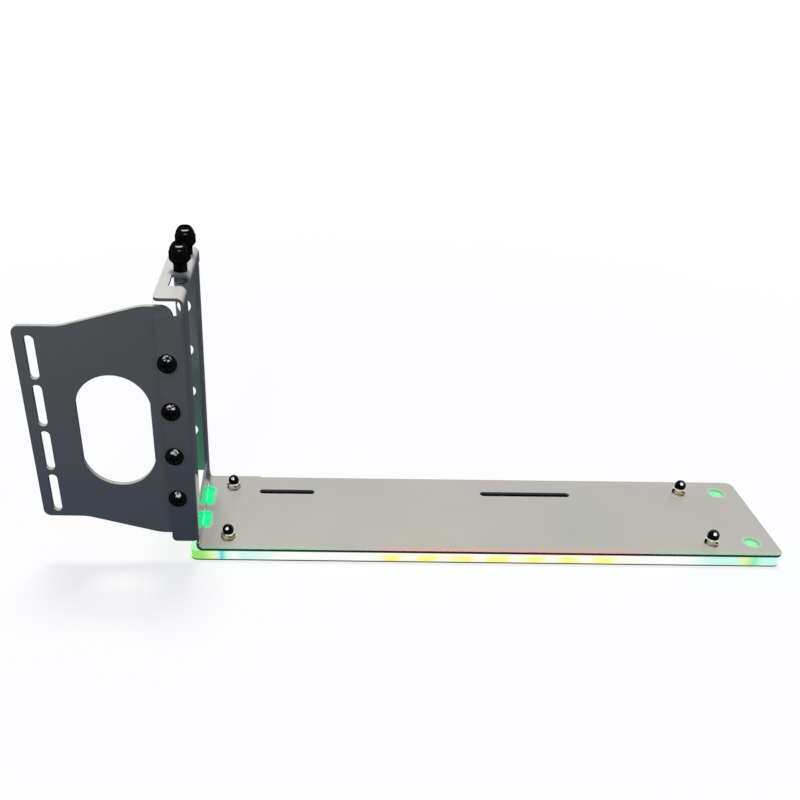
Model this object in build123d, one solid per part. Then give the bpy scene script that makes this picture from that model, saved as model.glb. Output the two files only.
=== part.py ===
from build123d import *
import os
from math import sqrt

# Support bracket that stands a graphics card upright inside a computer case.
# Millimetres. X = 0 is the card side of the wall, Y = 0 the middle of the base, Z = 0 the underside.

# Folded sheet
sheet_thick = 1.2
bend_inner_radius = 1.6
bend_relief = 1.2

# Light plate under the base
light_thick = 5.0
light_overhang = 4.0
light_corner_radius = 3.0

# Base
base_length = 254.4
base_depth = 59.0
base_corner_radius = 3.5
back_step = 0.8
back_step_x = 24.5

# Wall and top flange
wall_height = 112.7
top_flange_reach = 11.3
top_corner_radius = 2.5
notch_length = 12.5
notch_strip = 4.2
notch_corner_radius = 0.8

# Window of the wall for the card's ports, heights above the base
port_window_front = 12.5
port_window_back = 48.0
port_window_low = 13.7
port_window_high = 104.0
port_window_radius = 3.0

# Front and back flange, heights above the base
flange_reach = 11.2
flange_low = 4.0
flange_high = 105.6
flange_corner_radius = 2.0
back_hole_radius = 3.0

# Slots for the riser screws in the base
riser_slot_width = 3.5
riser_slot_y = 45.6
riser_slots = [(24.5, 50.7), (129.7, 172.3)]

# Holes that let the light out
light_hole_radius = 3.3
light_hole_inset = 10.4
light_holes_y = [9.3, 48.9]
fold_slot_width = 3.6
fold_slot_reach = 3.1
fold_slot_rise = 1.4
fold_slots = [(22.0, 12.0), (41.5, 14.5)]

# Flared plate that goes on the case, heights above the base
plate_thick = 2.0
plate_left = 65.0
plate_right = 4.5
plate_mid_z = 58.4
plate_narrow_height = 85.2
plate_wide_height = 101.4
plate_flare_start = 47.0
plate_flare_end = 16.0
plate_left_radius = 3.0
plate_right_radius = 4.5
plate_flare_radius = 18.0

# Slots and window of the flared plate
case_slot_x = 58.9
case_slot_z = 57.8
case_slot_length = 18.0
case_slot_width = 3.9
slot_pitch = 20.32
slot_count = 4
window_left = 45.0
window_right = 15.7
window_z = 56.6
window_height = 49.6
window_end_radius = 15.0

# Screws and press nuts of the flared plate
plate_screw_x = 7.65
plate_screw_z = 56.7
plate_screw_radius = 2.0
plate_screw_length = 7.0
plate_head_radius = 3.7
plate_head_height = 2.5
press_nut_radius = 3.9
press_nut_height = 2.6
press_nut_neck_radius = 2.8
press_nut_chamfer = 0.3

# Screws and cap nuts of the base
base_screw_left = 12.0
base_screw_right_inset = 28.6
base_screw_y = [9.0, 49.4]
base_screw_radius = 1.5
base_head_radius = 2.75
base_head_height = 1.9
base_head_sunk = 0.4
base_screw_tip_gap = 0.4
cap_nut_across_flats = 5.5
cap_nut_hex_height = 2.6
cap_nut_chamfer = 0.15
cap_nut_dome_radius = 2.5
cap_nut_height = 6.4
cap_nut_bore_depth = 3.6

# Thumbscrews of the top flange and the tapped necks under it
thumb_x = 4.26
thumb_y = [29.5, 49.8]
thumb_screw_radius = 1.75
thumb_screw_length = 5.0
thumb_neck_radius = 2.7
thumb_neck_height = 2.9
thumb_knob_radius = 4.2
thumb_band_low = 4.6
thumb_band_high = 7.6
thumb_dome_step = 0.2
thumb_dome_radius = 5.6
thumb_top_radius = 2.3
thumb_height = 11.0
thumb_flutes = 24
thumb_flute_radius = 0.3
thumb_recess_reach = 1.6
tapped_neck_radius = 2.6
tapped_neck_height = 3.0

# Pan heads of the screws, as shares of their radius and height
head_rim_share = 0.35
head_shoulder_radius_share = 0.72
head_shoulder_height_share = 0.84
recess_reach_share = 0.55

# Cross recesses and screw tips
recess_width = 0.9
recess_depth = 1.2
screw_tip_chamfer = 0.3

# Light strip inside the light plate
led_count = 16
led_first_x = 6.2
led_last_inset = 15.7
led_size = 5.0
led_height = 1.6
led_lens_radius = 2.0
led_lens_depth = 0.2
board_thick = 1.0
board_width = 10.0
board_y = 30.0
board_margin = 4.4
pocket_gap = 0.5
socket_x = 75.0
socket_width = 9.0
socket_length = 6.0
socket_height = 3.6
socket_wall = 0.8
socket_gap = 0.2
socket_pin_count = 3
socket_pin_pitch = 2.0
socket_pin_width = 0.5
socket_pin_recess = 1.2

# Fits
bore_gap = 0.03
hole_gap = 0.2
head_gap = 0.3
cut_over = 1.0

# Heights and depths shared by the pieces
base_under = light_thick
base_top = light_thick + sheet_thick
wall_top = base_top + wall_height
front = -base_depth / 2
back = base_depth / 2
plate_front = front + sheet_thick
plate_back = plate_front + plate_thick
window_mid_x = -(window_left + window_right) / 2
window_half = (window_left - window_right) / 2
base_screw_x = [base_screw_left, base_length - base_screw_right_inset]
led_pitch = (base_length - led_first_x - led_last_inset) / (led_count - 1)
on_floor = (Align.CENTER, Align.CENTER, Align.MIN)


def fold(points, plane, length):
    """Sheet folded along a line of points, as long as the fold runs."""
    middle = FilletPolyline(*points, radius=bend_inner_radius + sheet_thick / 2)
    return extrude(plane * trace(middle, sheet_thick), amount=length)


def block(x_range, y_range, z_range):
    """Box between two corners."""
    size = [high - low for low, high in (x_range, y_range, z_range)]
    return Pos(x_range[0], y_range[0], z_range[0]) * Box(*size, align=(Align.MIN, Align.MIN, Align.MIN))


def upright(radius, x, y, z_low, z_high):
    """Round bar along Z."""
    return Pos(x, y, z_low) * Cylinder(radius, z_high - z_low, align=on_floor)


def along_y(radius, x, z, y_low, y_high):
    """Round bar along Y."""
    bar = Rot(90, 0, 0) * Cylinder(radius, y_high - y_low)
    return Pos(x, (y_low + y_high) / 2, z) * bar


def round_upright_corners(part, radius, keep):
    """Round the upright edges whose middle the rule keeps."""
    edges = [edge for edge in part.edges().filter_by(Axis.Z) if keep(edge.center())]
    return fillet(edges, radius)


def on_both_sides(part):
    """The part at the front edge and its mirror image at the back edge."""
    return [part, mirror(part, about=Plane.XZ)]


def base_wall_and_top():
    half = sheet_thick / 2
    points = [
        (base_length, base_under + half),
        (-half, base_under + half),
        (-half, wall_top - half),
        (-top_flange_reach, wall_top - half),
    ]
    section = Plane(origin=(0, front, 0), x_dir=(1, 0, 0), z_dir=(0, -1, 0))
    strip = fold(points, section, -base_depth)
    strip -= block(
        (back_step_x, base_length + cut_over),
        (back - back_step, back + cut_over),
        (base_under - cut_over, base_top + cut_over),
    )
    strip = round_upright_corners(strip, base_corner_radius, lambda c: c.X > base_length - back_step)
    return round_upright_corners(strip, top_corner_radius, lambda c: c.X < -top_flange_reach + 0.1)


def edge_flange():
    """Flange that is folded back from the wall's front edge."""
    half = sheet_thick / 2
    points = [
        (-flange_reach, front + half),
        (-half, front + half),
        (-half, front + 2 * (bend_inner_radius + sheet_thick)),
    ]
    low = Plane(origin=(0, 0, base_top + flange_low))
    flange = fold(points, low, flange_high - flange_low)
    edges = [edge for edge in flange.edges().filter_by(Axis.Y) if edge.center().X < -flange_reach + 0.1]
    return fillet(edges, flange_corner_radius)


def edge_flange_gap():
    """Space that the flange's fold and its reliefs take out of the wall's edge."""
    bend = bend_inner_radius + sheet_thick
    return block(
        (-sheet_thick - cut_over, cut_over),
        (front - cut_over, front + bend + bend_relief / 2),
        (base_top + flange_low - bend_relief, base_top + flange_high + bend_relief),
    )


def port_window():
    """Window of the wall, open upwards into the notch."""
    length = port_window_back - port_window_front
    height = port_window_high - port_window_low
    face = Plane(origin=(0, front, base_top), x_dir=(0, 1, 0), z_dir=(1, 0, 0))
    middle = Pos(port_window_front + length / 2, port_window_low + height / 2)
    shape = middle * RectangleRounded(length, height, port_window_radius)
    return extrude(face * shape, amount=2 * sheet_thick, both=True)


def top_notch():
    """Notch through the top flange and its fold, down into the window."""
    left = -top_flange_reach + notch_strip
    notch = block(
        (left, cut_over),
        (front + port_window_front, front + port_window_front + notch_length),
        (base_top + port_window_high - port_window_radius, wall_top + cut_over),
    )
    return round_upright_corners(notch, notch_corner_radius, lambda c: c.X < left + 0.1)


def riser_slot_cuts(low, high):
    cuts = []
    for x_start, x_end in riser_slots:
        shape = SlotOverall(x_end - x_start, riser_slot_width)
        at = Pos((x_start + x_end) / 2, front + riser_slot_y, low)
        cuts.append(at * extrude(shape, amount=high - low))
    return cuts


def fold_slot_cuts():
    """Light slots along the foot of the wall, through the fold."""
    cuts = []
    for y_mid, length in fold_slots:
        shape = SlotOverall(length, fold_slot_width, rotation=90)
        at = Pos(fold_slot_reach - fold_slot_width / 2, front + y_mid, base_under - cut_over)
        cuts.append(at * extrude(shape, amount=sheet_thick + fold_slot_rise + cut_over))
    return cuts


def row_heights(middle):
    """Heights of one screw or slot per case slot, from the top down."""
    first = middle + slot_pitch * (slot_count - 1) / 2
    return [base_top + first - slot_pitch * index for index in range(slot_count)]


def base_screw_places():
    return [(x, front + y) for x in base_screw_x for y in base_screw_y]


def thumb_places():
    return [(-thumb_x, front + y) for y in thumb_y]


def base_holes():
    """Light holes and screw holes of the base."""
    low = base_under - cut_over
    high = base_top + cut_over
    x = base_length - light_hole_inset
    lights = [upright(light_hole_radius, x, front + y, low, high) for y in light_holes_y]
    screws = [upright(base_screw_radius + hole_gap, x, y, low, high) for x, y in base_screw_places()]
    return lights + screws


def flange_holes():
    """Screw holes of the front flange and larger ones opposite in the back flange."""
    cuts = []
    for z in row_heights(plate_screw_z):
        cuts.append(along_y(plate_screw_radius + hole_gap, -plate_screw_x, z, front - cut_over, plate_front + cut_over))
        cuts.append(along_y(back_hole_radius, -plate_screw_x, z, back - sheet_thick - cut_over, back + cut_over))
    return cuts


def main_bracket():
    part = base_wall_and_top() - on_both_sides(edge_flange_gap()) + on_both_sides(edge_flange())
    neck_low = wall_top - sheet_thick - tapped_neck_height
    for x, y in thumb_places():
        part += upright(tapped_neck_radius, x, y, neck_low, wall_top - sheet_thick / 2)
    for x, y in thumb_places():
        part -= upright(thumb_screw_radius + bore_gap, x, y, neck_low - cut_over, wall_top + cut_over)
    part -= port_window()
    part -= top_notch()
    part -= riser_slot_cuts(base_under - cut_over, base_top + cut_over)
    part -= fold_slot_cuts()
    part -= base_holes()
    return part - flange_holes()


def flared_outline():
    narrow = plate_narrow_height / 2
    wide = plate_wide_height / 2
    top = [(-plate_left, narrow), (-plate_flare_start, narrow), (-plate_flare_end, wide), (-plate_right, wide)]
    bottom = [(x, -z) for x, z in reversed(top)]
    shape = make_face(Polyline(*top, *bottom, close=True))
    radii = {
        plate_left: plate_left_radius,
        plate_flare_start: plate_flare_radius,
        plate_flare_end: plate_flare_radius,
        plate_right: plate_right_radius,
    }
    for x, radius in radii.items():
        corners = [vertex for vertex in shape.vertices() if abs(vertex.X + x) < 0.01]
        shape = fillet(corners, radius)
    return Pos(0, plate_mid_z) * shape


def window_outline():
    """Upright window with straight sides and round ends."""
    rise = window_end_radius - sqrt(window_end_radius**2 - window_half**2)
    side = window_height / 2 - rise
    left_top = (-window_half, side)
    right_top = (window_half, side)
    right_low = (window_half, -side)
    left_low = (-window_half, -side)
    edges = [
        ThreePointArc(left_top, (0, window_height / 2), right_top),
        Line(right_top, right_low),
        ThreePointArc(right_low, (0, -window_height / 2), left_low),
        Line(left_low, left_top),
    ]
    return Pos(window_mid_x, window_z) * make_face(edges)


def flared_plate():
    shape = flared_outline() - window_outline()
    for z in row_heights(case_slot_z):
        slot = SlotOverall(case_slot_length, case_slot_width, rotation=90)
        shape -= Pos(-case_slot_x, z - base_top) * slot
    seat = Plane(origin=(0, plate_front, base_top), x_dir=(1, 0, 0), z_dir=(0, -1, 0))
    plate = extrude(seat * shape, amount=-plate_thick)
    for z in row_heights(plate_screw_z):
        plate -= along_y(press_nut_neck_radius, -plate_screw_x, z, plate_front - cut_over, plate_back + cut_over)
    return plate


def cross_recess(reach):
    """Cross cut that goes down from the top of a screw head at Z = 0."""
    arm = Box(2 * reach, recess_width, 2 * recess_depth)
    return arm + Rot(0, 0, 90) * arm


def shank(radius, length):
    """Screw shank down from Z = 0, with a chamfered tip."""
    bar = upright(radius, 0, 0, -length, 0)
    return chamfer(bar.edges().group_by(Axis.Z)[0], screw_tip_chamfer)


def domed_head(radius, height):
    """Head of a pan screw: a short straight rim under a dome, seat at Z = 0."""
    rim = (radius, height * head_rim_share)
    shoulder = (radius * head_shoulder_radius_share, height * head_shoulder_height_share)
    edges = [
        Line((0, 0), (radius, 0)),
        Line((radius, 0), rim),
        ThreePointArc(rim, shoulder, (0, height)),
        Line((0, height), (0, 0)),
    ]
    return revolve(Plane.XZ * make_face(edges), Axis.Z)


def pan_screw(screw_radius, length, head_radius, head_height):
    """Cross-recessed pan screw, seat of its head at Z = 0, shank downwards."""
    screw = domed_head(head_radius, head_height) + shank(screw_radius, length)
    return screw - Pos(0, 0, head_height) * cross_recess(head_radius * recess_reach_share)


def plate_screw(z):
    screw = pan_screw(plate_screw_radius, plate_screw_length, plate_head_radius, plate_head_height)
    return Pos(-plate_screw_x, front, z) * Rot(90, 0, 0) * screw


def press_nut(z):
    """Round nut pressed into the flared plate from behind."""
    nut_back = plate_back + press_nut_height
    neck = along_y(press_nut_neck_radius, -plate_screw_x, z, plate_front, plate_back)
    body = along_y(press_nut_radius, -plate_screw_x, z, plate_back, nut_back)
    body = chamfer(body.edges().group_by(Axis.Y)[-1], press_nut_chamfer)
    bore = along_y(plate_screw_radius + bore_gap, -plate_screw_x, z, plate_front - cut_over, nut_back + cut_over)
    return neck + body - bore


def base_screw(x, y):
    seat = base_head_sunk + base_head_height
    length = base_top + cap_nut_bore_depth - base_screw_tip_gap - seat
    screw = pan_screw(base_screw_radius, length, base_head_radius, base_head_height)
    return Pos(x, y, seat) * Rot(180, 0, 0) * screw


def cap_nut(x, y):
    """Hexagon nut with a domed cap."""
    hexagon = extrude(RegularPolygon(cap_nut_across_flats / 2, 6, major_radius=False), amount=cap_nut_hex_height)
    corner_radius = cap_nut_across_flats / sqrt(3)
    top_radius = cap_nut_across_flats / 2 - cap_nut_chamfer
    cone = Cone(corner_radius + cap_nut_hex_height, top_radius, cap_nut_hex_height, align=on_floor)
    shoulder = cap_nut_height - cap_nut_dome_radius
    cap = upright(cap_nut_dome_radius, 0, 0, 0, shoulder)
    dome = Pos(0, 0, shoulder) * Sphere(cap_nut_dome_radius, arc_size1=0, align=on_floor)
    bore = upright(base_screw_radius + bore_gap, 0, 0, -cut_over, cap_nut_bore_depth)
    return Pos(x, y, base_top) * ((hexagon & cone) + cap + dome - bore)


def thumb_knob():
    """Knob with a straight neck, a fluted band and a domed top."""
    band_low = (thumb_knob_radius, thumb_band_low)
    band_high = (thumb_knob_radius, thumb_band_high)
    dome_low = (thumb_knob_radius - thumb_dome_step, thumb_band_high)
    dome_high = (thumb_top_radius, thumb_height)
    edges = [
        Line((0, 0), (thumb_neck_radius, 0)),
        Line((thumb_neck_radius, 0), (thumb_neck_radius, thumb_neck_height)),
        Line((thumb_neck_radius, thumb_neck_height), band_low),
        Line(band_low, band_high),
        Line(band_high, dome_low),
        RadiusArc(dome_low, dome_high, -thumb_dome_radius),
        Line(dome_high, (0, thumb_height)),
        Line((0, thumb_height), (0, 0)),
    ]
    knob = revolve(Plane.XZ * make_face(edges), Axis.Z)
    flute = upright(thumb_flute_radius, thumb_knob_radius, 0, thumb_neck_height, thumb_band_high)
    return knob - [Rot(0, 0, 360 / thumb_flutes * index) * flute for index in range(thumb_flutes)]


def thumbscrew(x, y):
    screw = thumb_knob() + shank(thumb_screw_radius, thumb_screw_length)
    screw -= Pos(0, 0, thumb_height) * cross_recess(thumb_recess_reach)
    return Pos(x, y, wall_top) * screw


def board_ends():
    """Left and right end of the light strip's board."""
    return led_first_x - board_margin, base_length - led_last_inset + board_margin


def strip_pockets():
    """Pockets from above for the light strip and its socket."""
    left, right = board_ends()
    y_mid = front + board_y
    half = board_width / 2 + pocket_gap
    strip_low = light_thick - board_thick - led_height - pocket_gap
    side = socket_width / 2 + pocket_gap
    socket_low = light_thick - board_thick - socket_height - socket_gap
    high = light_thick + cut_over
    return [
        block((left - pocket_gap, right + pocket_gap), (y_mid - half, y_mid + half), (strip_low, high)),
        block((socket_x - side, socket_x + side), (y_mid, back), (socket_low, high)),
    ]


def light_plate():
    """Clear plate under the base."""
    plate = block((-light_overhang, base_length), (front, back - back_step), (0, light_thick))
    plate = round_upright_corners(plate, light_corner_radius, lambda c: c.X < 0)
    plate = round_upright_corners(plate, base_corner_radius, lambda c: c.X > 0)
    plate -= strip_pockets()
    plate -= riser_slot_cuts(-cut_over, light_thick + cut_over)
    for x, y in base_screw_places():
        plate -= upright(base_screw_radius + hole_gap, x, y, -cut_over, light_thick + cut_over)
        plate -= upright(base_head_radius + head_gap, x, y, -cut_over, base_head_sunk + base_head_height)
    return plate


def led_board():
    """Circuit board against the underside of the base, with a tongue to the socket."""
    left, right = board_ends()
    y_mid = front + board_y
    under = base_under - board_thick
    half = board_width / 2
    board = block((left, right), (y_mid - half, y_mid + half), (under, base_under))
    tongue_end = back - back_step - pocket_gap
    side = socket_width / 2
    return board + block((socket_x - side, socket_x + side), (y_mid, tongue_end), (under, base_under))


def led(index):
    """Square lamp that hangs from the board, with a shallow round lens."""
    x = led_first_x + led_pitch * index
    y = front + board_y
    high = base_under - board_thick
    low = high - led_height
    half = led_size / 2
    body = block((x - half, x + half), (y - half, y + half), (low, high))
    return body - upright(led_lens_radius, x, y, low - cut_over, low + led_lens_depth)


def light_socket():
    """Three-pin socket for the light cable, open towards the back."""
    high = base_under - board_thick
    end = back - back_step - pocket_gap
    side = socket_width / 2
    shell = block((socket_x - side, socket_x + side), (end - socket_length, end), (high - socket_height, high))
    mouth = block(
        (socket_x - side + socket_wall, socket_x + side - socket_wall),
        (end - socket_length + socket_wall, end + cut_over),
        (high - socket_height + socket_wall, high - socket_wall),
    )
    socket = shell - mouth
    half = socket_pin_width / 2
    z = high - socket_height / 2
    pin_ends = (end - socket_length + socket_wall / 2, end - socket_pin_recess)
    for index in range(socket_pin_count):
        x = socket_x + socket_pin_pitch * (index - (socket_pin_count - 1) / 2)
        socket += block((x - half, x + half), pin_ends, (z - half, z + half))
    return socket


def write(name, part):
    export_step(part, f"parts/{name}.step")


def main():
    os.makedirs("parts", exist_ok=True)
    write("main_bracket", main_bracket())
    write("flared_plate", flared_plate())
    write("light_plate", light_plate())
    write("led_board", led_board())
    write("light_socket", light_socket())
    for index in range(led_count):
        write(f"led_{index + 1}", led(index))
    for index, z in enumerate(row_heights(plate_screw_z)):
        write(f"plate_screw_{index + 1}", plate_screw(z))
        write(f"press_nut_{index + 1}", press_nut(z))
    for index, (x, y) in enumerate(base_screw_places()):
        write(f"base_screw_{index + 1}", base_screw(x, y))
        write(f"cap_nut_{index + 1}", cap_nut(x, y))
    for index, (x, y) in enumerate(thumb_places()):
        write(f"thumbscrew_{index + 1}", thumbscrew(x, y))


main()
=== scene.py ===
import math
import bpy
from mathutils import Matrix, Vector

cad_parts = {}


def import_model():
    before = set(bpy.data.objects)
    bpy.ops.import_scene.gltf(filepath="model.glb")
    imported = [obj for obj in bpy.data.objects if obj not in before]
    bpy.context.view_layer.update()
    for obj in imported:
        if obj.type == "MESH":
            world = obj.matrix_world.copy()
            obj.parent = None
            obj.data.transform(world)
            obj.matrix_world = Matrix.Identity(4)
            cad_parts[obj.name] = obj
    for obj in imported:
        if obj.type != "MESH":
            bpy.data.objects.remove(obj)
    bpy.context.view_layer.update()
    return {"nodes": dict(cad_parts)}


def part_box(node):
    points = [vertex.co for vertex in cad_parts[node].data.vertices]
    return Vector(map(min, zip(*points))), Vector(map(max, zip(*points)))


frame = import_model()

MM = 0.001

# The camera stands in front of the bracket and looks down on it. Lens and sensor are in millimetres
CAMERA_PLACE = (39.93 * MM, -327.53 * MM, 232.99 * MM)
CAMERA_TILT = math.radians(35.0)
CAMERA_ROLL = math.radians(-0.693)
CAMERA_LENS = 38.765
CAMERA_SENSOR = 36.0
CAMERA_SHIFT = (0.1354, 0.1443)
CAMERA_NEAR = 10.0 * MM

# Places on the bracket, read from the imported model
PLATE_LOW, PLATE_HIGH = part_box("light_plate")
BRACKET_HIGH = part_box("main_bracket")[1]
SHEET = 1.2 * MM
BASE_TOP = PLATE_HIGH[2] + SHEET
WALL_TOP = BRACKET_HIGH[2]
FRONT = PLATE_LOW[1]
BACK = BRACKET_HIGH[1]
RIGHT_END = PLATE_HIGH[0]

# Slots through the foot of the wall: middle and length of each, from front to back
FOLD_SLOTS = [(FRONT + 22.0 * MM, 12.0 * MM), (FRONT + 41.5 * MM, 14.5 * MM)]
FOLD_SLOT_X = 1.3 * MM
FOLD_SLOT_RADIUS = 1.8 * MM

# Holes at the free end of the base that show the lit plate
LIGHT_HOLES = [(244.0 * MM, FRONT + 9.3 * MM), (244.0 * MM, FRONT + 48.9 * MM)]
LIGHT_HOLE_RADIUS = 3.3 * MM


def operator(operation):
    """A Python operator and its reflected form, each as a maths node."""
    def forward(self, other):
        return self.finish.maths(operation, self, other)

    def reflected(self, other):
        return self.finish.maths(operation, other, self)

    return forward, reflected


class Socket:
    """An output of a shader node. Python's operators on it add maths nodes."""

    __add__, __radd__ = operator("ADD")
    __sub__, __rsub__ = operator("SUBTRACT")
    __mul__, __rmul__ = operator("MULTIPLY")
    __truediv__, __rtruediv__ = operator("DIVIDE")
    __pow__, __rpow__ = operator("POWER")

    def __init__(self, finish, link):
        self.finish = finish
        self.link = link

    def __abs__(self):
        return self.finish.maths("ABSOLUTE", self)

    def larger(self, other):
        return self.finish.maths("MAXIMUM", self, other)

    def smaller(self, other):
        return self.finish.maths("MINIMUM", self, other)

    def ramp(self, low, high):
        """0 at low, 1 at high, smooth between them."""
        values = {"Value": self, "From Min": low, "From Max": high}
        return self.finish.node("ShaderNodeMapRange", {"interpolation_type": "SMOOTHSTEP"}, values)

    def wave(self, pitch, first):
        """1 at the first crest and at every pitch from it, -1 half way between."""
        return self.finish.maths("COSINE", (self - first) * (2 * math.pi / pitch))


class Finish:
    """A material, or the room round the bracket, built node by node."""

    def __init__(self, owner):
        self.owner = owner
        owner.use_nodes = True
        self.tree = owner.node_tree
        self.tree.nodes.clear()
        self.place = self.node("ShaderNodeTexCoord", output="Object")
        self.x, self.y, self.z = self.axes(self.place)
        # How far the surface faces along each axis of the object, from -1 to 1
        facing = self.node("ShaderNodeTexCoord", output="Normal")
        self.facing_x, self.facing_y, self.facing_z = self.axes(facing)

    def node(self, kind, settings=None, sockets=None, output=0):
        """Any node: its settings first, then the values or links of its sockets."""
        made = self.tree.nodes.new(kind)
        for name, value in (settings or {}).items():
            if name == "stops":
                self.set_stops(made.color_ramp, value)
            else:
                setattr(made, name, value)
        for name, value in (sockets or {}).items():
            if isinstance(value, Socket):
                self.tree.links.new(value.link, made.inputs[name])
            else:
                made.inputs[name].default_value = value
        return Socket(self, made.outputs[output]) if made.outputs else None

    def maths(self, operation, *values):
        return self.node("ShaderNodeMath", {"operation": operation}, dict(enumerate(values)))

    @staticmethod
    def set_stops(ramp, stops):
        while len(ramp.elements) < len(stops):
            ramp.elements.new(1.0)
        for element, (position, colour) in zip(ramp.elements, stops):
            element.position = position
            element.color = colour

    def axes(self, vector):
        split = self.node("ShaderNodeSeparateXYZ", None, {0: vector})
        return [Socket(self, split.link.node.outputs[letter]) for letter in "XYZ"]

    def towards(self, direction, low, high):
        """1 where the surface faces a direction: the soft patch where a painted highlight goes on gloss.
        """
        x, y, z = direction
        alike = self.facing_x * x + self.facing_y * y + self.facing_z * z
        return alike.ramp(low, high)

    def turned_away(self):
        """0 where the surface is seen straight on, 1 where it is seen along."""
        return self.node("ShaderNodeLayerWeight", None, {"Blend": 0.5}, "Facing")

    def noise(self, scale, detail=3.0):
        """Noise with about this many patches to a metre."""
        values = {"Vector": self.place, "Scale": scale, "Detail": detail}
        return self.node("ShaderNodeTexNoise", None, values)

    def mix(self, factor, first, second):
        """Colour between first and second, by the colour sockets of a mix node."""
        return self.node("ShaderNodeMix", {"data_type": "RGBA"}, {0: factor, 6: first, 7: second}, 2)

    def over(self, colour, *layers):
        """Colour with others laid over it in turn, each where its mask is 1."""
        for mask, layer in layers:
            colour = self.mix(mask, colour, layer)
        return colour

    def bump(self, height, distance, strength, below=None):
        values = {"Height": height, "Distance": distance, "Strength": strength}
        if below is not None:
            values["Normal"] = below
        return self.node("ShaderNodeBump", None, values)

    def shader(self, **sockets):
        names = {name.replace("_", " "): value for name, value in sockets.items()}
        return self.node("ShaderNodeBsdfPrincipled", None, names)

    def diffuse(self, colour):
        return self.node("ShaderNodeBsdfDiffuse", None, {"Color": colour})

    def between(self, factor, first, second):
        """Shader between first and second."""
        return self.node("ShaderNodeMixShader", None, {0: factor, 1: first, 2: second})

    def seen(self):
        """1 for what the camera, a mirror or clear plastic sees, 0 for soft light."""
        looked_at = self.node("ShaderNodeLightPath", output="Is Camera Ray")
        mirrored = self.node("ShaderNodeLightPath", output="Is Glossy Ray")
        through = self.node("ShaderNodeLightPath", output="Is Transmission Ray")
        return looked_at.larger(mirrored).larger(through)

    def done(self, surface, kind="ShaderNodeOutputMaterial"):
        self.node(kind, None, {"Surface": surface})
        return self.owner


def material(name):
    return Finish(bpy.data.materials.new(name))


def rgb(red, green, blue):
    """Opaque colour as the eye reads it, 0 to 255, turned to the linear colour that shaders use."""
    def linear(value):
        value /= 255
        return value / 12.92 if value <= 0.04045 else ((value + 0.055) / 1.055) ** 2.4
    return linear(red), linear(green), linear(blue), 1.0


def length(across, along):
    """Length of a line from how far it goes across and along."""
    return (across * across + along * along) ** 0.5


def distance_from(finish, middle):
    """Distance from an upright line through a place on the base."""
    return length(finish.x - middle[0], finish.y - middle[1])


def round_mask(finish, middle, radius, soft):
    """1 inside a disc seen from above, fading out over its soft rim."""
    return distance_from(finish, middle).ramp(radius + soft, radius)


def ends(x, stretch):
    """1 left and right of a stretch of the base, 0 along it."""
    left_end, left_start, right_start, right_end = stretch
    return x.ramp(left_start, left_end) + x.ramp(right_start, right_end)


def by_fold(finish):
    """1 near the fold at the wall's foot."""
    return finish.x.ramp(14.0 * MM, 12.0 * MM)


def free_end(finish):
    """0 by the wall, 1 at the free end of the base."""
    return finish.x.ramp(30.0 * MM, 200.0 * MM)


UNLIT = rgb(0, 0, 0)

# Light grey coat of the folded sheets
COAT = rgb(172, 170, 159)
COAT_WARM = rgb(178, 174, 160)
# The next three colours are painted light and shade: paler on top of the level sheets, darker and bluer
# low on the upright sheets and where they face sideways
COAT_TOP_LIGHT = rgb(206, 203, 194)
COAT_LOW_SHADE = rgb(138, 145, 154)
COAT_SIDE_SHADE = rgb(118, 128, 142)
# Painted shade for the low part of the bracket's front-facing sheets
COAT_SHADE = rgb(66, 86, 104)
COAT_SPECK = rgb(150, 147, 140)
COAT_GRAIN_DEPTH = 0.04 * MM

# The bend at the wall's foot has the base's colour up to here
BEND_RIGHT = 5.0 * MM
BEND_TOP = BASE_TOP + 4.0 * MM


def coat_colour(finish):
    """Warm clouds and fine specks, with painted shade that makes the upright sheets bluer and darker low
    down and where they face sideways, and painted light that makes the level sheets paler near the top.
    """
    cloud = finish.noise(14.0, 4.0).ramp(0.35, 0.70)
    bend = finish.x.ramp(BEND_RIGHT, BEND_RIGHT - 1.5 * MM) * finish.z.ramp(BEND_TOP, BEND_TOP - 2.0 * MM)
    upright = finish.facing_z.ramp(0.8, 0.2) * (1 - bend)
    # Painted shade low on the upright sheets and where they face sideways, and painted light near the top
    # of the level sheets
    low = finish.z.ramp(WALL_TOP, BASE_TOP) * upright
    side = abs(finish.facing_x).ramp(0.3, 0.9) * upright
    high = finish.z.ramp(WALL_TOP - 6.0 * MM, WALL_TOP - 1.0 * MM) * (1 - upright)
    speck = finish.noise(2600.0, 2.0).ramp(0.3, 0.8)
    return finish.over(
        COAT,
        (cloud, COAT_WARM),
        (low * 0.75, COAT_LOW_SHADE),
        (side * 0.4, COAT_SIDE_SHADE),
        (high, COAT_TOP_LIGHT),
        (speck * 0.10, COAT_SPECK),
    )


def coat_sockets(finish, colour):
    """What the shaders of a coat share: its colour, its uneven gloss and its grain."""
    rough = finish.noise(60.0).ramp(0.2, 0.8) * 0.08 + 0.38
    grain = finish.bump(finish.noise(1500.0, 2.0), COAT_GRAIN_DEPTH, 0.5)
    return {"Base_Color": colour, "Roughness": rough, "Normal": grain}


def coat_shader(finish, sockets):
    """Semi-gloss coat on the level sheets, dull where they stand upright."""
    level = finish.facing_z.ramp(0.2, 0.8)
    glossy = finish.shader(**sockets, Specular_IOR_Level=0.7)
    dull = finish.shader(**sockets, Specular_IOR_Level=0.0)
    return finish.between(level, dull, glossy)


# Painted light that the lit edge spills on the sheet above it, and painted shade on the sheet's cut front
# edge
GREEN_ENDS = (45.0 * MM, 68.0 * MM, 190.0 * MM, 212.0 * MM)
RED_MIDDLE = (68.0 * MM, 92.0 * MM, 178.0 * MM, 202.0 * MM)
RIM_WIDTH = 4.5 * MM
RIM_GREEN = rgb(150, 200, 158)
RIM_RED = rgb(218, 158, 148)
CUT_EDGE_SHADE = rgb(105, 100, 92)
CUT_GREEN = rgb(62, 150, 92)
CUT_RED = rgb(160, 78, 52)


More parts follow.
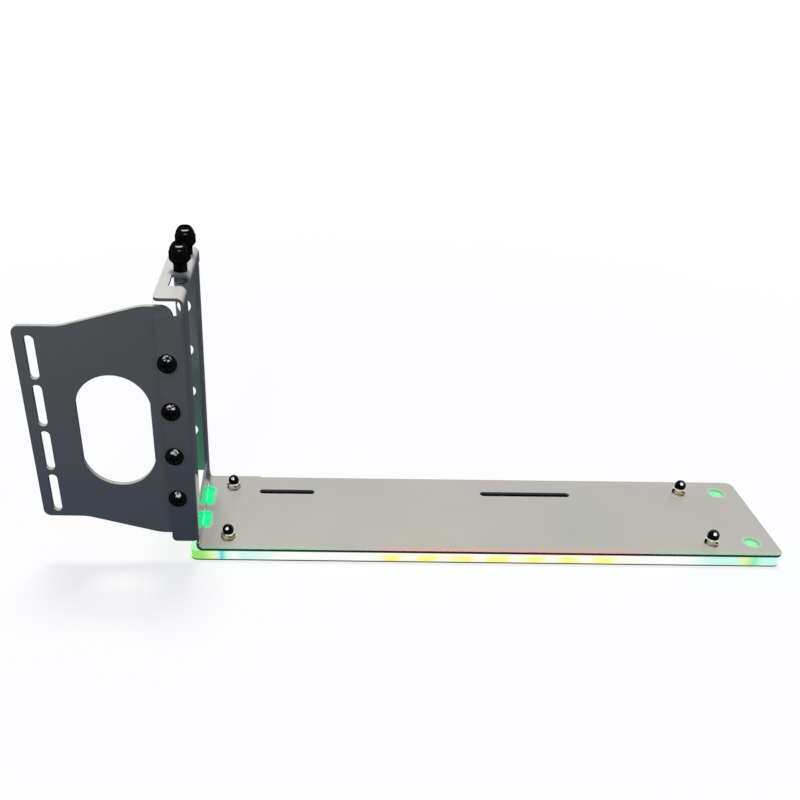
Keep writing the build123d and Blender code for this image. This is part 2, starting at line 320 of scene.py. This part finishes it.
def edge_tint(finish):
    """Layers of painted light that spill from the lit edge on the sheet's front edge and rim, over painted
    shade on the front edge.
    """
    base = finish.z.ramp(BASE_TOP + 1.0 * MM, BASE_TOP)
    rim = finish.y.ramp(FRONT + RIM_WIDTH, FRONT) * base
    cut = finish.facing_y.ramp(-0.5, -0.9) * finish.y.ramp(FRONT + 0.5 * MM, FRONT) * base
    green = ends(finish.x, GREEN_ENDS)
    red = 1 - ends(finish.x, RED_MIDDLE)
    return [
        (rim * green * 0.6, RIM_GREEN),
        (rim * red * 0.8, RIM_RED),
        (cut, CUT_EDGE_SHADE),
        (cut * green, CUT_GREEN),
        (cut * red * 0.8, CUT_RED),
    ]


# Painted light on the sheet round the slots and holes of the base, as if it came up through them
HALO_STRENGTH = 0.26
HALO_TOP = BASE_TOP + 3.4 * MM
SLOT_HALO = 2.0 * MM
HOLE_HALO = 1.6 * MM
HOLE_STRENGTH = 0.7
SLOT_LIGHT = rgb(26, 236, 146)
HOLE_LIGHT = rgb(140, 232, 170)
PAINTED_HALO_TINT = rgb(20, 60, 44)


def light_spill(distance, radius, reach):
    """1 inside a lit opening, then a faint halo of painted light that fades out."""
    inside = distance.ramp(radius + 0.3 * MM, radius)
    return inside.larger(distance.ramp(radius + reach, radius) * HALO_STRENGTH)


def opening_halo(finish):
    """Painted light round the slots and holes of the base."""
    spills = []
    for middle, slot_length in FOLD_SLOTS:
        along = (abs(finish.y - middle) - (slot_length / 2 - FOLD_SLOT_RADIUS)).larger(0.0)
        distance = length(finish.x - FOLD_SLOT_X, along)
        spills.append(light_spill(distance, FOLD_SLOT_RADIUS, SLOT_HALO))
    for hole in LIGHT_HOLES:
        spill = light_spill(distance_from(finish, hole), LIGHT_HOLE_RADIUS, HOLE_HALO)
        spills.append(spill * HOLE_STRENGTH)
    return sum(spills).smaller(1.0) * finish.z.ramp(HALO_TOP, HALO_TOP - 1.0 * MM)


# Partly painted reflection: the wall is a mirror only in a patch at its foot, whose edge is a line that
# rises towards its front edge, placed where the base's reflection falls
FOOT_RISE = 1.43
FOOT_REACH = 56.0 * MM
MIRROR = rgb(236, 236, 230)

# Painted light: a glow on the inside of the back flange
BACK_PAINTED_GLOW = rgb(48, 59, 59)
BACK_PAINTED_GLOW_LOW = rgb(40, 98, 74)


def foot_reflection_patch(finish):
    """Where and how much the wall's foot mirrors the base, only at a flat angle: a real mirror, in a
    painted patch.
    """
    side = finish.facing_x.ramp(0.2, 0.6)
    foot = (finish.y - FRONT + (finish.z - BASE_TOP) * FOOT_RISE).ramp(FOOT_REACH, FOOT_REACH - 4.0 * MM)
    above = finish.z.ramp(BASE_TOP + 0.2 * MM, BASE_TOP + 0.8 * MM)
    return side * foot * above * finish.turned_away().ramp(0.55, 0.85) * 0.85


def bracket_finish():
    """Coat of the main bracket, with painted light from the lit edge, the slots and the holes, painted
    shade on its front, and a painted reflection at its foot.
    """
    finish = material("coated_sheet")
    # Painted shade on the lower part of the front-facing sheets
    front_low_shade = finish.facing_y.ramp(-0.5, -0.9) * finish.z.ramp(BASE_TOP + 80.0 * MM, BASE_TOP + 5.0 * MM)
    halo = opening_halo(finish)
    colour = finish.over(
        coat_colour(finish),
        *edge_tint(finish),
        (front_low_shade * 0.35, COAT_SHADE),
        (halo.ramp(0.35, 0.75), PAINTED_HALO_TINT),
    )
    # Painted glow on the inside of the back flange, greener low down
    back = finish.y.ramp(BACK - 6.0 * MM, BACK - 1.5 * MM) * finish.facing_y.ramp(-0.3, -0.8)
    back_low = back * finish.z.ramp(BASE_TOP + 55.0 * MM, BASE_TOP)
    opening_light = finish.mix(free_end(finish), SLOT_LIGHT, HOLE_LIGHT)
    glow = finish.over(UNLIT, (back, BACK_PAINTED_GLOW), (back_low, BACK_PAINTED_GLOW_LOW), (halo, opening_light))
    sockets = coat_sockets(finish, colour)
    sockets.update(Emission_Color=glow, Emission_Strength=1.0)
    coat = coat_shader(finish, sockets)
    # Painted reflection patch: the mirror shader laid over the coat at the wall's foot
    sockets.update(Base_Color=MIRROR, Metallic=1.0, Roughness=0.04)
    return finish.done(finish.between(foot_reflection_patch(finish), coat, finish.shader(**sockets)))


def flared_finish():
    finish = material("coated_plate")
    return finish.done(coat_shader(finish, coat_sockets(finish, coat_colour(finish))))


# Tones of the lit edge
LEAF = rgb(146, 228, 112)
LIME = rgb(223, 246, 168)
CYAN = rgb(84, 212, 214)
MINT = rgb(200, 249, 237)
PALE = rgb(250, 251, 248)
JADE = rgb(150, 236, 172)

# Where each tone stands along the base, in millimetres
EDGE_STOPS = [
    (-4.0, LEAF), (1.0, LEAF), (5.2, LIME), (8.0, MINT), (9.6, CYAN), (11.5, MINT), (15.0, PALE),
    (19.0, MINT), (36.0, PALE), (212.0, PALE), (225.0, MINT), (233.0, MINT), (238.0, LIME), (242.0, JADE),
    (246.0, MINT),
]

# Amber patches that the lamps leave along the middle of the edge
LAMP_PITCH = 15.5 * MM
LAMP_FIRST = 6.2 * MM
AMBER = rgb(252, 249, 142)
AMBER_STRETCH = (72.0 * MM, 84.0 * MM, 178.0 * MM, 194.0 * MM)
AMBER_TOP = 5.6 * MM
AMBER_FULL = 2.6 * MM
EDGE_CLOUD = rgb(232, 244, 232)
EDGE_UNDER = rgb(6, 14, 8)

# Top of the plate, which shows in the slots and holes and left of the wall
TOP_BY_WALL = rgb(12, 244, 148)
TOP_FREE_END = rgb(140, 246, 178)
TOP_CLOUD = rgb(190, 252, 200)
TOP_LEDGE = rgb(178, 246, 196)
HOLE_RIM = rgb(168, 206, 172)
HOLE_RIM_WIDTH = 1.6 * MM

# Dark colour of the clear plate, painted shade where it is not lit, and where its rim's light starts and
# is full, from the middle out
CLEAR_PLATE_SHADE = rgb(34, 36, 34)
RIM_LIGHT_START = 25.0 * MM
RIM_LIGHT_FULL = 26.5 * MM


def edge_light(finish):
    """Light at the plate's rim: its tones, the amber patches and the shade at its lowest edge."""
    start = EDGE_STOPS[0][0] * MM
    span = EDGE_STOPS[-1][0] * MM - start
    stops = [((place * MM - start) / span, tone) for place, tone in EDGE_STOPS]
    tones = finish.node("ShaderNodeValToRGB", {"stops": stops}, {0: (finish.x - start) / span})
    uneven = finish.noise(260.0, 4.0).ramp(0.25, 0.75) * 1.1 - 0.55
    lamps = (finish.x.wave(LAMP_PITCH, LAMP_FIRST) + uneven).ramp(-1.2, 1.0) * 0.82 + 0.18
    amber = lamps * (1 - ends(finish.x, AMBER_STRETCH)) * finish.z.ramp(AMBER_TOP, AMBER_FULL)
    cloud = finish.noise(220.0).ramp(0.55, 0.8)
    under = finish.z.ramp(0.75 * MM, 0.45 * MM)
    return finish.over(tones, (amber, AMBER), (cloud * 0.15, EDGE_CLOUD), (under, EDGE_UNDER))


def top_light(finish):
    """Light at the plate's top: paler and cloudy at the free end, with a rim in each hole."""
    cloud = finish.noise(420.0).ramp(0.45, 0.7) * free_end(finish)
    top = finish.mix(free_end(finish), TOP_BY_WALL, TOP_FREE_END)
    top = finish.mix(cloud * 0.4, top, TOP_CLOUD)
    for hole in LIGHT_HOLES:
        inside = round_mask(finish, hole, LIGHT_HOLE_RADIUS - HOLE_RIM_WIDTH, HOLE_RIM_WIDTH)
        around = round_mask(finish, hole, LIGHT_HOLE_RADIUS + 2.0 * MM, 1.0 * MM)
        top = finish.mix(around * (1 - inside) * 0.7, top, HOLE_RIM)
    return finish.mix(finish.x.ramp(0.0, -0.5 * MM), top, TOP_LEDGE)


def light_plate_finish():
    """Clear plate that glows at its rim, at its top and in its inner walls by the fold."""
    finish = material("lit_clear_plate")
    x = finish.x
    half_width = abs(finish.y)
    up = finish.facing_z.ramp(0.5, 0.9)
    inner = x.ramp(-1.5 * MM, 0.0) * half_width.ramp(RIM_LIGHT_FULL, RIM_LIGHT_START) * by_fold(finish)
    outer = half_width.ramp(RIM_LIGHT_START, RIM_LIGHT_FULL) + x.ramp(-2.0 * MM, -3.0 * MM)
    outer = outer + x.ramp(RIGHT_END - 2.0 * MM, RIGHT_END - 1.0 * MM)
    shown = outer.larger(up).larger(by_fold(finish)).smaller(1.0)
    top = top_light(finish)
    glow = finish.over(edge_light(finish), (up, top), (inner, top))
    glow = finish.mix(shown, UNLIT, glow)
    return finish.done(finish.shader(
        Base_Color=CLEAR_PLATE_SHADE,
        Roughness=0.15,
        Specular_IOR_Level=0.1,
        Emission_Color=glow,
        Emission_Strength=1.0,
    ))


# Glossy black screws, with a painted highlight
BLACK = rgb(3, 3, 5)
BLACK_WORN = rgb(10, 10, 15)
BLACK_GRAIN_DEPTH = 0.02 * MM
PAINTED_HIGHLIGHT = rgb(225, 227, 232)
HIGHLIGHT_FROM = (0.10, -0.74, 0.66)
KNOB_HIGHLIGHT_PITCH = 1.45 * MM
THREAD_PITCH = 0.7 * MM
THREAD_FIRST = THREAD_PITCH / 4
THREAD_DEPTH = 0.3 * MM


def black_finish(finish, along, shank, highlight_mask):
    """Glossy black, dull where it turns away, with a thread along the shank and a painted highlight."""
    colour = finish.mix(finish.noise(900.0).ramp(0.3, 0.7), BLACK, BLACK_WORN)
    thread = along.wave(THREAD_PITCH, THREAD_FIRST) * shank
    grain = finish.bump(finish.noise(2500.0), BLACK_GRAIN_DEPTH, 0.4)
    relief = finish.bump(thread, THREAD_DEPTH, 1.0, grain)
    # Painted highlight: a glow where the surface faces one direction
    highlight_patch = finish.towards(HIGHLIGHT_FROM, 0.90, 0.96)
    glow = finish.mix(highlight_patch * highlight_mask, UNLIT, PAINTED_HIGHLIGHT)
    sockets = {"Base_Color": colour, "Normal": relief, "Emission_Color": glow, "Emission_Strength": 0.7}
    glossy = finish.shader(**sockets, Roughness=0.14, Specular_IOR_Level=0.04)
    dull = finish.shader(**sockets, Roughness=0.5, Specular_IOR_Level=0.0)
    return finish.done(finish.between(finish.turned_away().ramp(0.25, 0.6), glossy, dull))


def plate_screw_finish():
    """Painted highlight in patches on the head, and a thread behind the nut."""
    finish = material("black_plate_screw")
    shank = finish.y.ramp(FRONT + 5.3 * MM, FRONT + 5.6 * MM)
    patches = finish.noise(1100.0, 1.0).ramp(0.46, 0.58)
    return black_finish(finish, finish.y, shank, patches)


def thumbscrew_finish():
    """Painted highlights in level rings on the knob, and a thread under the top flange."""
    finish = material("black_thumbscrew")
    shank = finish.z.ramp(WALL_TOP - 0.2 * MM, WALL_TOP - 0.6 * MM)
    rings = finish.z.wave(KNOB_HIGHLIGHT_PITCH, WALL_TOP).ramp(0.35, 0.9)
    return black_finish(finish, finish.z, shank, rings)


# Bright plating of the cap nuts, with a painted reflection of a dark room and the pale base, and a painted
# highlight
NUT_SIDE_REFLECTION = rgb(222, 212, 190)
NUT_STRIPE_REFLECTION = rgb(8, 8, 10)
NUT_LEFT_REFLECTION = rgb(30, 28, 24)
NUT_LID_LIGHT = rgb(228, 224, 210)
NUT_CAP_REFLECTION = rgb(12, 12, 14)
NUT_HIGHLIGHT = rgb(245, 245, 248)
NUT_HIGHLIGHT_FROM = (-0.15, -0.69, 0.71)
NUT_STRIPE_PITCH = 1.7 * MM
NUT_CAP_START = BASE_TOP + 2.6 * MM


def cap_nut_finish():
    """Bright plating with a painted reflection: a pale side with dark stripes, and a dark cap with one
    painted highlight.
    """
    finish = material("bright_cap_nut")
    across = finish.axes(finish.node("ShaderNodeTexCoord", output="Generated"))[0]
    stripe = finish.z.wave(NUT_STRIPE_PITCH, BASE_TOP).ramp(-0.2, 0.5) * across.ramp(0.5, 0.62)
    left = across.ramp(0.16, 0.06)
    cap = finish.z.ramp(NUT_CAP_START, NUT_CAP_START + 0.5 * MM)
    highlight_patch = finish.towards(NUT_HIGHLIGHT_FROM, 0.945, 0.97) * cap
    lid = finish.facing_z.ramp(0.3, 0.6) * (1 - cap)
    # Painted reflection and painted highlight laid over the plating
    colour = finish.over(
        NUT_SIDE_REFLECTION,
        (stripe, NUT_STRIPE_REFLECTION),
        (left, NUT_LEFT_REFLECTION),
        (cap, NUT_CAP_REFLECTION),
        (highlight_patch, NUT_HIGHLIGHT),
        (lid, NUT_LID_LIGHT),
    )
    return finish.done(finish.shader(Base_Color=colour, Roughness=0.12, Metallic=1.0))


def board_finish():
    """Green circuit board, with a painted green glow on its top and near the fold."""
    finish = material("green_circuit_board")
    colour = finish.mix(finish.noise(1200.0), rgb(18, 84, 48), rgb(26, 104, 60))
    shown = finish.facing_z.ramp(0.5, 0.9).larger(by_fold(finish))
    glow = finish.mix(shown, UNLIT, rgb(10, 238, 146))
    return finish.done(finish.shader(
        Base_Color=colour, Roughness=0.35, Emission_Color=glow, Emission_Strength=1.0
    ))


def cloudy_finish(name, scale, first, second, **sockets):
    """A finish whose colour drifts a little between two tones."""
    finish = material(name)
    colour = finish.mix(finish.noise(scale), first, second)
    return finish.done(finish.shader(Base_Color=colour, **sockets))


def zinc_finish():
    tones = rgb(150, 152, 156), rgb(185, 186, 190)
    return cloudy_finish("zinc_steel", 300.0, *tones, Roughness=0.3, Metallic=1.0)


def lamp_finish():
    tones = rgb(238, 236, 225), rgb(225, 222, 210)
    lit = {"Emission_Color": rgb(120, 255, 190), "Emission_Strength": 1.0}
    return cloudy_finish("lamp_body", 900.0, *tones, Roughness=0.4, **lit)


def socket_finish():
    tones = rgb(226, 222, 208), rgb(214, 210, 196)
    return cloudy_finish("moulded_socket", 500.0, *tones, Roughness=0.45)


def dress():
    """Every node of the model gets its finish, by the start of its name."""
    finishes = {
        "main_bracket": bracket_finish(),
        "flared_plate": flared_finish(),
        "light_plate": light_plate_finish(),
        "led_board": board_finish(),
        "light_socket": socket_finish(),
        "led_": lamp_finish(),
        "plate_screw": plate_screw_finish(),
        "thumbscrew": thumbscrew_finish(),
        "cap_nut": cap_nut_finish(),
        "base_screw": zinc_finish(),
        "press_nut": zinc_finish(),
    }
    for name, node in frame["nodes"].items():
        key = next(start for start in finishes if name.startswith(start))
        node.data.materials.clear()
        node.data.materials.append(finishes[key])


def put(name, data):
    """A new object in the scene."""
    placed = bpy.data.objects.new(name, data)
    bpy.context.scene.collection.objects.link(placed)
    return placed


def camera():
    data = bpy.data.cameras.new("camera")
    data.lens = CAMERA_LENS
    data.sensor_width = CAMERA_SENSOR
    data.sensor_fit = "HORIZONTAL"
    data.shift_x, data.shift_y = CAMERA_SHIFT
    data.clip_start = CAMERA_NEAR
    placed = put("camera", data)
    forward = Vector((0.0, math.cos(CAMERA_TILT), -math.sin(CAMERA_TILT)))
    level_right = Vector((1.0, 0.0, 0.0))
    level_up = level_right.cross(forward)
    right = level_right * math.cos(CAMERA_ROLL) - level_up * math.sin(CAMERA_ROLL)
    up = level_right * math.sin(CAMERA_ROLL) + level_up * math.cos(CAMERA_ROLL)
    turn = Matrix((right, up, -forward)).transposed().to_4x4()
    placed.matrix_world = Matrix.Translation(CAMERA_PLACE) @ turn
    bpy.context.scene.camera = placed


# Pale floor that keeps the bracket's shadow near it, and pale room
FLOOR_HALF = 6.0
SHADOW_MIDDLE = (90.0 * MM, 0.0)
SHADOW_RADIUS = 250.0 * MM
SHADOW_FADE = 350.0 * MM
SHADOW_STRENGTH = 0.22
WHITE = (1.0, 1.0, 1.0, 1.0)
FLOOR_SHADED = (0.9, 0.9, 0.9, 1.0)
FLOOR_BOUNCE = (0.06, 0.06, 0.065, 1.0)
ROOM_LIGHT = (0.175, 0.205, 0.285, 1.0)


def floor():
    corners = [(x * FLOOR_HALF, y * FLOOR_HALF, 0) for x, y in ((-1, -1), (1, -1), (1, 1), (-1, 1))]
    mesh = bpy.data.meshes.new("floor")
    mesh.from_pydata(corners, [], [(0, 1, 2, 3)])
    placed = put("floor", mesh)
    finish = material("pale_floor")
    white = finish.node("ShaderNodeEmission", None, {"Color": WHITE, "Strength": 1.0})
    near = round_mask(finish, SHADOW_MIDDLE, SHADOW_RADIUS, SHADOW_FADE)
    shown = finish.between(near * SHADOW_STRENGTH, white, finish.diffuse(FLOOR_SHADED))
    mesh.materials.append(finish.done(finish.between(finish.seen(), finish.diffuse(FLOOR_BOUNCE), shown)))


def world():
    """White where it is seen, and a dim blue light on the bracket."""
    made = bpy.data.worlds.new("room")
    bpy.context.scene.world = made
    finish = Finish(made)
    dim = finish.node("ShaderNodeBackground", None, {"Color": ROOM_LIGHT})
    white = finish.node("ShaderNodeBackground", None, {"Color": WHITE})
    finish.done(finish.between(finish.seen(), dim, white), "ShaderNodeOutputWorld")


def light(name, strength, spread, tilt, side, colour):
    """Far light. Its spread, tilt and side are in degrees, and a positive tilt brings it to the front."""
    data = bpy.data.lights.new(name, "SUN")
    data.energy = math.pi * strength
    data.angle = math.radians(spread)
    data.color = colour
    placed = put(name, data)
    placed.rotation_euler = (math.radians(tilt), 0.0, math.radians(side))


dress()
camera()
floor()
world()
light("overhead_light", strength=0.80, spread=16.0, tilt=-18.0, side=0.0, colour=(1.0, 0.99, 0.975))
light("front_light", strength=0.07, spread=3.0, tilt=48.0, side=-12.0, colour=(1.0, 1.0, 1.0))
bpy.context.scene.view_settings.view_transform = "Standard"
